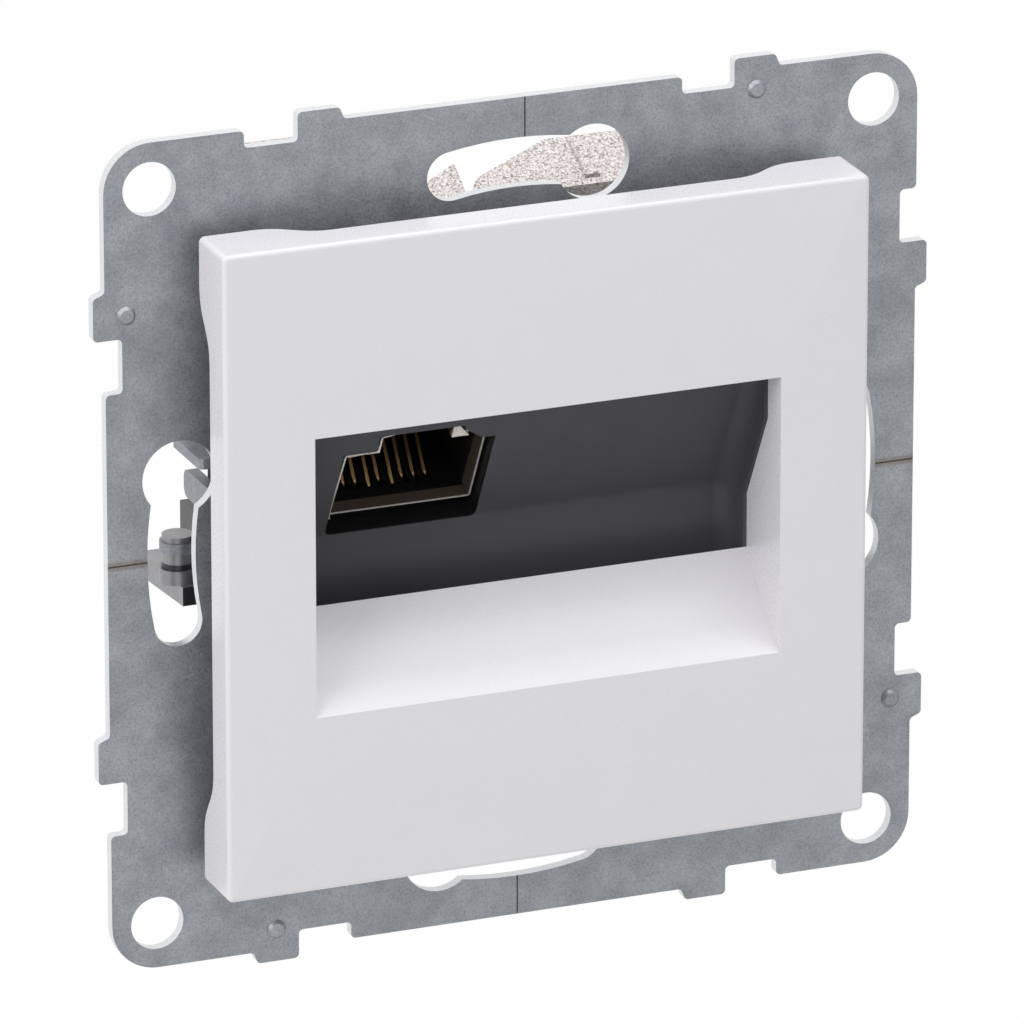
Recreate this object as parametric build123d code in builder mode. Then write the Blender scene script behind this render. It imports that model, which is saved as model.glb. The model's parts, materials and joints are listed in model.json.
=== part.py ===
from build123d import *
from math import cos, radians, sin, tan
import os

# Ethernet wall socket: a steel yoke, a clip-on cover with a tilted window and a shielded network jack.
# Millimetres. +Z is up, the front faces -Y, and y = 0 is the yoke's back face, on the wall.

os.makedirs("parts", exist_ok=True)

# Yoke: its tabs meet a neighbour's at 71 mm, and the inset puts the screw slots on the 60 mm circle
plate_size = 70.8
plate_t = 1.0
plate_corner_r = 4.0
fixing_inset = 3.9
fixing_hole_r = 2.27
key_steps = (-18.8, 19.15)
key_notch_w = 4.6
key_notch_depth = 1.45
key_tab_w = 3.6
key_tab_height = 1.0
key_tab_slope = 0.4
key_corner_r = 0.4
slot_inset = 5.47
slot_w = 4.15
slot_tail_deg = 10.8
slot_head_deg = 13.0
slot_head_r = 3.2
dimple_r = 0.8
dimple_height = 0.3
dimple_bevel = 0.24
dimple_from_centre = 21.1
dimple_from_edge = 1.8
rail_w = 10.9
rail_h = 14.5
opening_corner_r = 2.0
flange_ranges = ((-19.0, -11.5, 4.0), (-4.0, -0.4, 7.0), (1.4, 4.6, 8.0), (6.0, 17.0, 8.0))
relief_w = 0.8
bend_r = 0.9
flange_tip_r = 0.8
ear_reach = 2.0
ear_t = 0.9
ear_depths = (1.0, 7.5)
ear_corner_r = 0.5
eyelet_level = -0.4
eyelet_t = 0.9
eyelet_r = 1.5
eyelet_hole_r = 0.9

# Cover
cover_stand = 7.43
cover_margin_w = 7.37
cover_margin_h = 7.75
cover_t = 2.0
cover_wall = 1.6
cover_depth = 5.5
cover_mid_depth = 3.3
cover_edge_r = 0.4
cover_corner_r = 0.5
lobe_start = 23.6
lobe_end = 17.4
window_reveal = 0.3
window_top = 11.3
window_bottom = -12.6
window_wall = 1.2
chamfer_depth = 1.5
chamfer_rise = 1.3
ledge_end_z = -5.7
ledge_hollow = 0.25
leg_x = 14.0
leg_w = 5.0
leg_t = 1.4
hook_reach = 1.2
hook_length = 1.5

# Insert: the front follows a bent profile, and the panel lies behind it
panel_tilt = 28.3
flange_top_depth = 2.7
flange_low_depth = 6.95
bend_top_z = 6.9
panel_recess = 3.0
insert_wall = 1.6
insert_rim_t = 1.3
insert_rim = 1.8
insert_top_wall = 1.84
pocket_room = 4.5
pocket_over_window = 0.06
pocket_bottom = -7.4
crease_r = 3.0
pocket_r = 1.6

# Jack, measured from the front edge of its shield along the axis
jack_inset = 10.8
port_z = 4.31
port_inset = 1.2
port_w = 12.1
port_h = 7.55
notch_w = 6.4
notch_h = 1.7
shield_t = 0.3
shield_length = 13.0
shield_fold_r = 0.3
lip_length = 1.0
lug_w = 1.5
lug_h = 1.35
aperture_gap = 0.25
aperture_drop = 1.38
aperture_corner_r = 0.5
floor_depth = 2.5
floor_start = 1.05
core_back_t = 2.1
contact_pitch = 1.02
contact_w = 0.4
contact_t = 0.3
contact_side_gap = 0.11
contact_tip = 3.1
contact_stagger = 0.7
contact_low = (2, 4)
contact_rise_deg = 28.0
contact_run = 7.0
contact_turn = (0.4, 0.5)
contact_nose = (0.8, -0.1)
contact_bend_r = 0.2
contact_depth = 1.125
board_t = 1.2
inner_corner_r = 0.6

# Termination block and wire cap
block_length = 6.0
block_slot_depth = 4.6
blade_edge = 1.95
blade_cover = 3.15
blade_w = 2.0
blade_t = 0.5
blade_slit = 0.4
blade_setback = 0.4
blade_mouth_w = 1.2
blade_mouth_depth = 1.4
wire_channel = 0.9
cap_gap = 0.3
cap_length = 6.5
cap_travel = 3.5
cap_corner_r = 1.0
cap_bevel = 0.4
cap_channel_w = 1.4
cap_channel_depth = 3.5
cap_bore_r = 3.0

# Die-cast housing and its hinged rear cover
housing_wall = 1.2
side_room = 0.85
roof_room = 0.225
floor_room = 0.125
housing_front = 0.75
housing_corner_r = 1.0
tube_over = 0.2
shoulder_t = 0.8
trough_rest = 4.5
trough_step = 1.5
trough_wall = 1.1
trough_reach = 0.1
trough_taper = 2.6
cable_slot_h = 6.2
nub_r = 1.5
nub_height = 1.0
nub_at = 8.0
nub_taper_deg = 20.0
hinge_out = 2.0
hinge_behind = 1.1
knuckle_r = 1.5
pin_r = 0.7
pin_clearance = 0.05
run_gap = 0.3
knuckle_h = 3.2
ear_root = 4.2
pin_floor = 0.5
pin_end_gap = 0.2
shut_gap = 0.5
rear_depth = 5.6
rear_wall = 1.2
rear_slope_deg = 30.0
rear_corner_r = 2.0
rib_at = 9.0
rib_w = 1.6
rib_height = 0.3
rib_taper_deg = 30.0

# Carrier frame
fit_gap = 0.1
carrier_room = 2.6
carrier_depth = 6.0
post_depth = 3.0
carrier_wall = 2.2
shelf_t = 1.6
cheek_t = 1.6
cheek_end = 13.5
cheek_low = -2.0
cheek_drop = 6.0
arm_top = -4.3
arm_t = 1.6
arm_out = 4.6
arm_flare = 0.8
arm_depths = (3.0, 12.5)
arm_root_h = 5.6
stud_out = 3.5
stud_y = 5.0
stud_r = 1.35
stud_foot_r = 1.55
stud_foot_h = 1.2
stud_neck_gap = 0.05
stud_head_r = 1.3
stud_head_h = 0.5

# How far a cut runs past a surface, and how far a joined piece starts inside the wall that it grows from
past = 1.0
sunk = 0.1

# Values that follow from the sizes
fixing_pitch = plate_size - 2 * fixing_inset
screw_circle_r = plate_size / 2 - slot_inset
opening_w = plate_size - 2 * rail_w
opening_h = plate_size - 2 * rail_h
cover_w = plate_size - 2 * cover_margin_w
cover_h = plate_size - 2 * cover_margin_h
cover_front = -(plate_t + cover_stand)
tilt = radians(panel_tilt)
panel_low_depth = flange_low_depth + panel_recess
bend_low_z = bend_top_z - (flange_low_depth - flange_top_depth) / tan(tilt)
flange_x = opening_w / 2
stud_x = flange_x + stud_out
pocket_half_w = flange_x - pocket_room
pocket_top = window_top + pocket_over_window
insert_top = pocket_top + insert_top_wall
insert_bottom = pocket_bottom - insert_wall
window_w = 2 * (pocket_half_w + window_reveal)
jack_x = jack_inset - pocket_half_w
flange_mid = flange_x + plate_t / 2
eyelet_top = eyelet_level - relief_w / 2
tray_half_w = pocket_half_w + insert_wall
carrier_h = opening_h - 2 * carrier_room
housing_w = port_w + 2 * (shield_t + side_room + housing_wall)
housing_top = port_h / 2 + notch_h + shield_t + roof_room + housing_wall
housing_bottom = -(port_h / 2 + floor_depth + floor_room + housing_wall)
leg_z = opening_h / 2 - run_gap - leg_t
inward = Vector(0, cos(tilt), sin(tilt))
upward = Vector(0, -sin(tilt), cos(tilt))


def panel_depth(z, behind=0.0):
    # depth behind the cover's face of the tilted panel, or of a surface parallel to it
    return flange_top_depth + panel_recess + (bend_top_z - z) * tan(tilt) + behind / cos(tilt)


def panel_height(depth, behind=0.0):
    # height at which that surface reaches a given depth
    return bend_top_z - (depth - flange_top_depth - panel_recess - behind / cos(tilt)) / tan(tilt)


def from_face(depth):
    # y of a point at a given depth behind the cover's face
    return cover_front + depth


def front_plane(y):
    # upright plane at y, with x to the right and z up, growing towards the user
    return Plane.XZ.offset(-y)


port_centre = Vector(jack_x, from_face(panel_depth(port_z, port_inset)), port_z)
port_axis = Axis(port_centre, inward)
height_axis = Axis(port_centre, upward)


def port_face(t):
    # plane across the jack's axis, t inside the shield's front edge, growing towards the user
    return Plane(origin=port_centre + inward * t, x_dir=(1, 0, 0), z_dir=inward * -1)


def port_side(x):
    # plane along the jack's axis at x from its middle, with distance inward and height across
    return Plane(origin=port_centre + Vector(x, 0, 0), x_dir=inward, z_dir=(1, 0, 0))


def port_plan(height):
    # plane seen along the jack's height, with x across and distance inward
    return Plane(origin=port_centre + upward * height, x_dir=(1, 0, 0), z_dir=upward)


# Mounting yoke: one blanked and folded steel sheet, the same on all four sides
slot_path = CenterArc((0, 0), screw_circle_r, 90 - slot_head_deg, slot_head_deg + slot_tail_deg)
head_x = screw_circle_r * sin(radians(slot_head_deg))
head_z = screw_circle_r * cos(radians(slot_head_deg))
plate_edge = plate_size / 2
quarter_turns = [Location((0, 0, 0), (0, 0, -90 * side)) for side in range(4)]

with BuildPart() as mounting_yoke:
    with BuildSketch(front_plane(0)) as blank:
        RectangleRounded(plate_size, plate_size, plate_corner_r)
        with Locations(*quarter_turns):
            for step in key_steps:
                Polygon(
                    (step, plate_edge - past),
                    (step + key_tab_w + key_tab_slope, plate_edge - past),
                    (step + key_tab_w + key_tab_slope, plate_edge),
                    (step + key_tab_w, plate_edge + key_tab_height),
                    (step, plate_edge + key_tab_height),
                    align=None,
                )
        with Locations(*quarter_turns):
            for step in key_steps:
                Polygon(
                    (step - key_notch_w, plate_edge - key_notch_depth),
                    (step, plate_edge - key_notch_depth),
                    (step, plate_edge + key_tab_height + past),
                    (step - key_notch_w, plate_edge + key_tab_height + past),
                    align=None,
                    mode=Mode.SUBTRACT,
                )
        key_reach = plate_edge - 2 * plate_corner_r
        key_corners = [v for v in blank.vertices() if min(abs(v.X), abs(v.Y)) < key_reach]
        fillet(key_corners, key_corner_r)
        with GridLocations(fixing_pitch, fixing_pitch, 2, 2):
            Circle(fixing_hole_r, mode=Mode.SUBTRACT)
        RectangleRounded(opening_w, opening_h, opening_corner_r, mode=Mode.SUBTRACT)
        with Locations(*quarter_turns):
            SlotArc(slot_path, slot_w, mode=Mode.SUBTRACT)
        with Locations(*[turn * Location((head_x, head_z)) for turn in quarter_turns]):
            Circle(slot_head_r, mode=Mode.SUBTRACT)
    extrude(amount=plate_t)
    # the sheet folds back into flanges at both sides of the opening, with relief cuts at their ends
    with BuildSketch(front_plane(0)) as fold_lines:
        for low, high, reach in flange_ranges:
            with Locations((-flange_x, low), (-flange_x, high), (flange_x, low), (flange_x, high)):
                Rectangle(2 * plate_t + relief_w, relief_w)
    extrude(amount=plate_t, mode=Mode.SUBTRACT)
    for low, high, reach in flange_ranges:
        with BuildSketch(front_plane(-plate_t)) as flange_root:
            with Locations((-flange_mid, (low + high) / 2), (flange_mid, (low + high) / 2)):
                Rectangle(plate_t, high - low - relief_w)
        extrude(amount=-(plate_t + reach))
    fold_edges = (
        mounting_yoke.edges()
        .filter_by(Axis.Z)
        .filter_by(lambda e: abs(abs(e.center().X) - flange_x) < 0.01 and abs(e.center().Y + plate_t) < 0.01)
        .filter_by(lambda e: any(low < e.center().Z < high for low, high, reach in flange_ranges))
    )
    fillet(fold_edges, bend_r)
    flange_tips = (
        mounting_yoke.edges()
        .filter_by(Axis.X)
        .filter_by(lambda e: e.center().Y > flange_ranges[0][2] - 0.1 and e.length < plate_t + 0.01)
    )
    fillet(flange_tips, flange_tip_r)
    # an ear stands out from each upper flange
    ear_low = flange_ranges[3][0] + relief_w / 2
    with BuildSketch(Plane.XY.offset(ear_low)) as ears:
        ear_mid = (ear_depths[0] + ear_depths[1]) / 2
        ear_x = flange_mid + ear_reach / 2
        with Locations((-ear_x, ear_mid), (ear_x, ear_mid)):
            Rectangle(plate_t + ear_reach, ear_depths[1] - ear_depths[0])
        fillet(ears.vertices().filter_by(lambda v: abs(v.X) > ear_x), ear_corner_r)
    extrude(amount=ear_t)
    # an eyelet on each middle flange goes over the carrier's stud
    with BuildSketch(Plane.XY.offset(eyelet_top)) as eyelets:
        with Locations((-(stud_x + flange_x) / 2, stud_y), ((stud_x + flange_x) / 2, stud_y)):
            Rectangle(stud_x - flange_x, 2 * eyelet_r)
        with Locations((-stud_x, stud_y), (stud_x, stud_y)):
            Circle(eyelet_r)
            Circle(eyelet_hole_r, mode=Mode.SUBTRACT)
    extrude(amount=-eyelet_t)
    # dimples pressed out of the sheet beside one tab on each side
    with BuildSketch(front_plane(-plate_t)) as dimples:
        dimple_z = plate_edge - dimple_from_edge
        with Locations(*[turn * Location((dimple_from_centre, dimple_z)) for turn in quarter_turns]):
            Circle(dimple_r)
    extrude(amount=dimple_height)
    dimple_rims = mounting_yoke.edges().filter_by(GeomType.CIRCLE).group_by(Axis.Y)[0]
    chamfer(dimple_rims, dimple_bevel)

mounting_yoke.part.label = "mounting_yoke"
export_step(mounting_yoke.part, "parts/mounting_yoke.step")

# Cover plate: a moulded shell with a scalloped rim, a window and a sloping ledge below it
skirt_back = cover_front + cover_depth
skirt_mid = cover_front + cover_mid_depth

with BuildPart() as cover_plate:
    with BuildSketch(front_plane(skirt_back)) as cover_outline:
        RectangleRounded(cover_w, cover_h, cover_corner_r)
    extrude(amount=cover_depth)
    fillet(cover_plate.faces().sort_by(Axis.Y)[0].edges(), cover_edge_r)
    with BuildSketch(front_plane(skirt_back)) as cover_hollow:
        Rectangle(cover_w - 2 * cover_wall, cover_h - 2 * cover_wall)
    extrude(amount=cover_depth - cover_t, mode=Mode.SUBTRACT)
    # the rim comes forward between the corners, on the sides and then on the top and bottom
    for rim_plane in (Plane.YZ, Plane(origin=(0, 0, 0), x_dir=(0, 1, 0), z_dir=(0, 0, -1))):
        with BuildSketch(rim_plane) as scallop:
            with BuildLine() as scallop_line:
                pull = (lobe_start - lobe_end) / 2
                upper = Bezier(
                    (skirt_back, lobe_start),
                    (skirt_back, lobe_start - pull),
                    (skirt_mid, lobe_end + pull),
                    (skirt_mid, lobe_end),
                )
                Line(upper @ 1, (skirt_mid, -lobe_end))
                lower = Bezier(
                    (skirt_mid, -lobe_end),
                    (skirt_mid, -lobe_end - pull),
                    (skirt_back, -lobe_start + pull),
                    (skirt_back, -lobe_start),
                )
                Polyline(
                    lower @ 1,
                    (skirt_back + past, -lobe_start),
                    (skirt_back + past, lobe_start),
                    upper @ 0,
                )
            make_face()
        extrude(amount=cover_w, both=True, mode=Mode.SUBTRACT)
    # the window's walls run back to the insert and follow its bent front
    with BuildSketch(Plane.YZ) as window_frame:
        Polygon(
            (from_face(cover_t / 2), window_top + window_wall),
            (from_face(flange_top_depth), window_top + window_wall),
            (from_face(flange_top_depth), bend_top_z),
            (from_face(flange_low_depth), bend_low_z),
            (from_face(flange_low_depth), window_bottom - window_wall),
            (from_face(cover_t / 2), window_bottom - window_wall),
            align=None,
        )
    extrude(amount=window_w / 2 + window_wall, both=True)
    with BuildSketch(Plane.YZ) as window_void:
        with BuildLine() as void_line:
            sill = Line((from_face(-past), window_bottom - past), (from_face(0), window_bottom))
            chamfer_end = (from_face(chamfer_depth), window_bottom + chamfer_rise)
            Line(sill @ 1, chamfer_end)
            ledge_mid_y = from_face((chamfer_depth + flange_low_depth) / 2)
            ledge_mid_z = (window_bottom + chamfer_rise + ledge_end_z) / 2
            ledge = ThreePointArc(
                chamfer_end,
                (ledge_mid_y + ledge_hollow, ledge_mid_z - ledge_hollow),
                (from_face(flange_low_depth), ledge_end_z),
            )
            Polyline(
                ledge @ 1,
                (from_face(flange_low_depth + past), ledge_end_z + past),
                (from_face(flange_low_depth + past), window_top),
                (from_face(-past), window_top),
                sill @ 0,
            )
        make_face()
    extrude(amount=window_w / 2, both=True, mode=Mode.SUBTRACT)
    # four legs snap behind the edge of the yoke's opening
    for side in (-1, 1):
        with BuildSketch(Plane.YZ.offset(-leg_x - leg_w / 2)) as leg_profile:
            Polygon(
                (from_face(cover_t / 2), side * leg_z),
                (hook_length, side * leg_z),
                (hook_length, side * (leg_z + leg_t / 2)),
                (0, side * (leg_z + leg_t + run_gap + hook_reach)),
                (0, side * (leg_z + leg_t)),
                (from_face(cover_t / 2), side * (leg_z + leg_t)),
                align=None,
            )
        extrude(amount=leg_w)
        with BuildSketch(Plane.YZ.offset(leg_x - leg_w / 2)) as far_leg_profile:
            add(leg_profile.sketch_local.face())
        extrude(amount=leg_w)

cover_plate.part.label = "cover_plate"
export_step(cover_plate.part, "parts/cover_plate.step")

# Insert: a moulded tray with a sunk, tilted panel, and a port opening in its left half
with BuildPart() as insert_pocket:
    with BuildSketch(Plane.YZ) as pocket_profile:
        Polygon(
            (from_face(flange_top_depth - past), pocket_top),
            (from_face(panel_depth(pocket_top)), pocket_top),
            (from_face(panel_low_depth), panel_height(panel_low_depth)),
            (from_face(panel_low_depth), pocket_bottom),
            (from_face(flange_top_depth - past), pocket_bottom),
            align=None,
        )
        crease = pocket_profile.vertices().group_by(Axis.X)[-1].sort_by(Axis.Y)[-1]
        fillet(crease, crease_r)
    extrude(amount=pocket_half_w, both=True)
    back_edges = (
        insert_pocket.edges()
        .filter_by(lambda e: abs(abs(e.center().X) - pocket_half_w) < 0.01)
        .filter_by(lambda e: e.center().Y > from_face(panel_depth(pocket_top)))
        .filter_by(lambda e: e.center().Z > pocket_bottom + 0.01)
    )
    fillet(back_edges, pocket_r)

with BuildPart() as jack_insert:
    with BuildSketch(Plane.YZ) as tray_profile:
        tray_back = panel_low_depth + insert_wall
        Polygon(
            (from_face(flange_top_depth), insert_top),
            (from_face(flange_top_depth), bend_top_z),
            (from_face(flange_low_depth), bend_low_z),
            (from_face(flange_low_depth), insert_bottom),
            (from_face(tray_back), insert_bottom),
            (from_face(tray_back), panel_height(tray_back, insert_wall)),
            (from_face(panel_depth(insert_top, insert_wall)), insert_top),
            align=None,
        )
    extrude(amount=tray_half_w, both=True)
    with BuildSketch(Plane.YZ) as rim_profile:
        Polygon(
            (from_face(flange_top_depth), insert_top),
            (from_face(flange_top_depth), bend_top_z),
            (from_face(flange_low_depth), bend_low_z),
            (from_face(flange_low_depth), insert_bottom),
            (from_face(flange_low_depth + insert_rim_t), insert_bottom),
            (from_face(flange_low_depth + insert_rim_t), bend_low_z),
            (from_face(flange_top_depth + insert_rim_t), bend_top_z),
            (from_face(flange_top_depth + insert_rim_t), insert_top),
            align=None,
        )
    extrude(amount=tray_half_w + insert_rim, both=True)
    add(insert_pocket.part, mode=Mode.SUBTRACT)
    with BuildSketch(port_face(insert_wall)) as aperture:
        side_gap = shield_t + aperture_gap
        with Locations((0, -(aperture_drop - side_gap) / 2)):
            Rectangle(port_w + 2 * side_gap, port_h + aperture_drop + side_gap)
        fillet(aperture.vertices().group_by(Axis.Y)[0], aperture_corner_r)
        with Locations((0, port_h / 2 + notch_h / 2)):
            Rectangle(notch_w + 2 * side_gap, notch_h + 2 * side_gap)
        Polygon(
            (notch_w / 2, port_h / 2),
            (notch_w / 2 + lug_w + 3 * aperture_gap, port_h / 2),
            (notch_w / 2 + lug_w + 3 * aperture_gap, port_h / 2 + side_gap),
            (notch_w / 2 + 2 * aperture_gap, port_h / 2 + lug_h + 2 * aperture_gap),
            (notch_w / 2, port_h / 2 + lug_h + 2 * aperture_gap),
            align=None,
        )
    extrude(amount=2 * insert_wall + panel_recess, mode=Mode.SUBTRACT)

jack_insert.part.label = "jack_insert"
export_step(jack_insert.part, "parts/jack_insert.step")

# Jack shield: a folded tube with the port's stepped section and a bright lug beside the latch notch
with BuildPart() as jack_shield:
    with BuildSketch(port_face(shield_length)) as shield_section:
        Rectangle(port_w + 2 * shield_t, port_h + 2 * shield_t)
        with Locations((0, port_h / 2 + notch_h / 2)):
            Rectangle(notch_w + 2 * shield_t, notch_h + 2 * shield_t)
        fillet(shield_section.vertices(), shield_fold_r)
        Rectangle(port_w, port_h, mode=Mode.SUBTRACT)
        with Locations((0, port_h / 2 + notch_h / 2)):
            Rectangle(notch_w, notch_h, mode=Mode.SUBTRACT)
    extrude(amount=shield_length)
    # the bottom wall is a short lip, and the contact carrier's floor lies behind it
    with BuildSketch(port_face(shield_length)) as floor_cut:
        with Locations((0, -port_h / 2 - shield_t / 2)):
            Rectangle(port_w, 3 * shield_t)
    extrude(amount=shield_length - lip_length, mode=Mode.SUBTRACT)
    with BuildSketch(port_face(0)) as lug:
        Polygon(
            (notch_w / 2, port_h / 2),
            (notch_w / 2 + lug_w, port_h / 2),
            (notch_w / 2 + lug_w * 0.3, port_h / 2 + lug_h),
            (notch_w / 2, port_h / 2 + lug_h),
            align=None,
        )
    extrude(amount=shield_t)

jack_shield.part.label = "jack_shield"
export_step(jack_shield.part, "parts/jack_shield.step")

# Contact carrier: a slotted floor under the port and a wall behind it
core_half_w = housing_w / 2 - housing_wall - fit_gap / 2
core_end = shield_length + fit_gap + core_back_t
floor_top = -port_h / 2
contact_tail_w = floor_top - contact_depth
contact_slot_w = contact_w + 2 * contact_side_gap
slot_floor = contact_tail_w - contact_t / 2
contact_x = [(i - 3.5) * contact_pitch for i in range(8)]

with BuildPart() as jack_core:
    with BuildSketch(port_side(-core_half_w)) as core_profile:
        Polygon(
            (floor_start, floor_top),
            (floor_start, floor_top - floor_depth),
            (core_end, floor_top - floor_depth),
            (core_end, housing_top - housing_wall - fit_gap),
            (shield_length + fit_gap, housing_top - housing_wall - fit_gap),
            (shield_length + fit_gap, floor_top),
            align=None,
        )
    extrude(amount=2 * core_half_w)
    # the floor steps in beside the shield's walls
    for side in (-1, 1):
        with BuildSketch(port_face(shield_length + fit_gap)) as wall_step:
            with Locations((side * (port_w / 2 + past), floor_top)):
                Rectangle(2 * past, 2 * shield_t + 2 * fit_gap)
        extrude(amount=shield_length, mode=Mode.SUBTRACT)
    with BuildSketch(port_face(core_end)) as contact_slots:
        with Locations(*[(x, (floor_top + slot_floor) / 2) for x in contact_x]):
            Rectangle(contact_slot_w, floor_top - slot_floor)
    extrude(amount=core_end - contact_tip + contact_stagger + contact_t, mode=Mode.SUBTRACT)

jack_core.part.label = "jack_core"
export_step(jack_core.part, "parts/jack_core.step")

# Eight contact springs: each runs along its slot, turns and rises into the port
rise = radians(contact_rise_deg)
for i, x in enumerate(contact_x):
    tip = contact_tip - (contact_stagger if i in contact_low else 0)
    turn = (tip + contact_turn[0], contact_tail_w + contact_turn[1])
    crest = (turn[0] + contact_run * cos(rise), turn[1] + contact_run * sin(rise))
    with BuildPart() as contact:
        with BuildSketch(port_side(x - contact_w / 2)) as contact_profile:
            with BuildLine() as contact_line:
                FilletPolyline(
                    (core_end, contact_tail_w),
                    (tip, contact_tail_w),
                    turn,
                    crest,
                    (crest[0] + contact_nose[0], crest[1] + contact_nose[1]),
                    radius=contact_bend_r,
                )
            trace(line_width=contact_t)
        extrude(amount=contact_w)
    contact.part.label = "contact_" + str(i + 1)
    export_step(contact.part, "parts/contact_" + str(i + 1) + ".step")

# Circuit board between the contacts and the termination block
inner_w = housing_w - 2 * housing_wall - fit_gap
inner_h = housing_top - housing_bottom - 2 * housing_wall - fit_gap
inner_mid = (housing_top + housing_bottom) / 2
board_back = core_end + board_t
block_back = board_back + block_length

with BuildPart() as contact_board:
    with BuildSketch(port_face(board_back)) as board_outline:
        with Locations((0, inner_mid)):
            RectangleRounded(inner_w, inner_h, inner_corner_r)
    extrude(amount=board_t)

contact_board.part.label = "contact_board"
export_step(contact_board.part, "parts/contact_board.step")

# Termination block with two rows of four slots, and a forked blade in each
blade_pitch = (housing_w - 2 * housing_wall - 2 * blade_edge) / 3
blade_row = inner_h / 2 - blade_cover
blade_places = [
    ((column - 1.5) * blade_pitch, inner_mid + row * blade_row) for row in (-1, 1) for column in range(4)
]
row_sides = [row for row in (-1, 1) for column in range(4)]

with BuildPart() as idc_block:
    with BuildSketch(port_face(block_back)) as block_outline:
        with Locations((0, inner_mid)):
            RectangleRounded(inner_w, inner_h, inner_corner_r)
    extrude(amount=block_length)
    with BuildSketch(port_face(block_back)) as wire_channels:
        for (x, w), row in zip(blade_places, row_sides):
            with Locations((x, w + row * inner_h / 8)):
                Rectangle(wire_channel, inner_h / 4 + 2 * blade_t + 1)
    extrude(amount=block_slot_depth, mode=Mode.SUBTRACT)
    with BuildSketch(port_face(block_back)) as blade_slots:
        with Locations(*blade_places):
            Rectangle(blade_w, blade_t)
    extrude(amount=block_length, mode=Mode.SUBTRACT)

idc_block.part.label = "idc_block"
export_step(idc_block.part, "parts/idc_block.step")

mouth = block_back - blade_setback
for i, (x, w) in enumerate(blade_places):
    with BuildPart() as blade:
        with BuildSketch(port_plan(w - blade_t / 2)) as blade_outline:
            with Locations((x, (board_back + mouth) / 2)):
                Rectangle(blade_w, mouth - board_back)
            with Locations((x, mouth - block_slot_depth / 2)):
                Rectangle(blade_slit, block_slot_depth, mode=Mode.SUBTRACT)
            Polygon(
                (x - blade_mouth_w / 2, mouth),
                (x, mouth - blade_mouth_depth),
                (x + blade_mouth_w / 2, mouth),
                align=None,
                mode=Mode.SUBTRACT,
            )
        extrude(amount=blade_t)
    blade.part.label = "idc_blade_" + str(i + 1)
    export_step(blade.part, "parts/idc_blade_" + str(i + 1) + ".step")

# Wire cap: presses the wires into the blades, and slides back to free them
tube_end = block_back + tube_over
trough_top = housing_top - trough_step
trough_bottom = housing_bottom + trough_step
trough_inner_h = trough_top - trough_bottom - 2 * trough_wall
cap_h = trough_inner_h - 2 * run_gap
cap_w = housing_w - 2 * housing_wall - 2 * run_gap
cap_front = block_back + cap_gap
cap_back = cap_front + cap_length
cap_limit = cap_back + cap_travel + run_gap
trough_end = cap_limit + trough_rest
trough_edge = housing_w / 2 + trough_reach

with BuildPart() as wire_cap:
    with BuildSketch(port_face(cap_back)) as cap_outline:
        with Locations((0, inner_mid)):
            RectangleRounded(cap_w, cap_h, cap_corner_r)
    extrude(amount=cap_length)
    with BuildSketch(port_face(cap_front + cap_channel_depth)) as cap_channels:
        for (x, w), row in zip(blade_places, row_sides):
            with Locations((x, inner_mid + row * (blade_row + cap_h / 2) / 2)):
                Rectangle(cap_channel_w, cap_h / 2 - blade_row + 2 * blade_t)
    extrude(amount=cap_channel_depth, mode=Mode.SUBTRACT)
    with BuildSketch(port_face(cap_back)) as cap_bore:
        with Locations((0, inner_mid)):
            Circle(cap_bore_r)
    extrude(amount=cap_length - cap_channel_depth, mode=Mode.SUBTRACT)
    chamfer(wire_cap.faces().sort_by(port_axis)[-1].outer_wire().edges(), cap_bevel)

wire_cap.part.label = "wire_cap"
export_step(wire_cap.part, "parts/wire_cap.step")

# Die-cast housing: a tube round the jack, a trough behind it that is open on the right, and a hinge ear
hinge_x = housing_w / 2 + hinge_out
hinge_at = tube_end + hinge_behind
ear_top = housing_top - knuckle_h - run_gap
ear_bottom = housing_bottom + knuckle_h + run_gap

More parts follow.
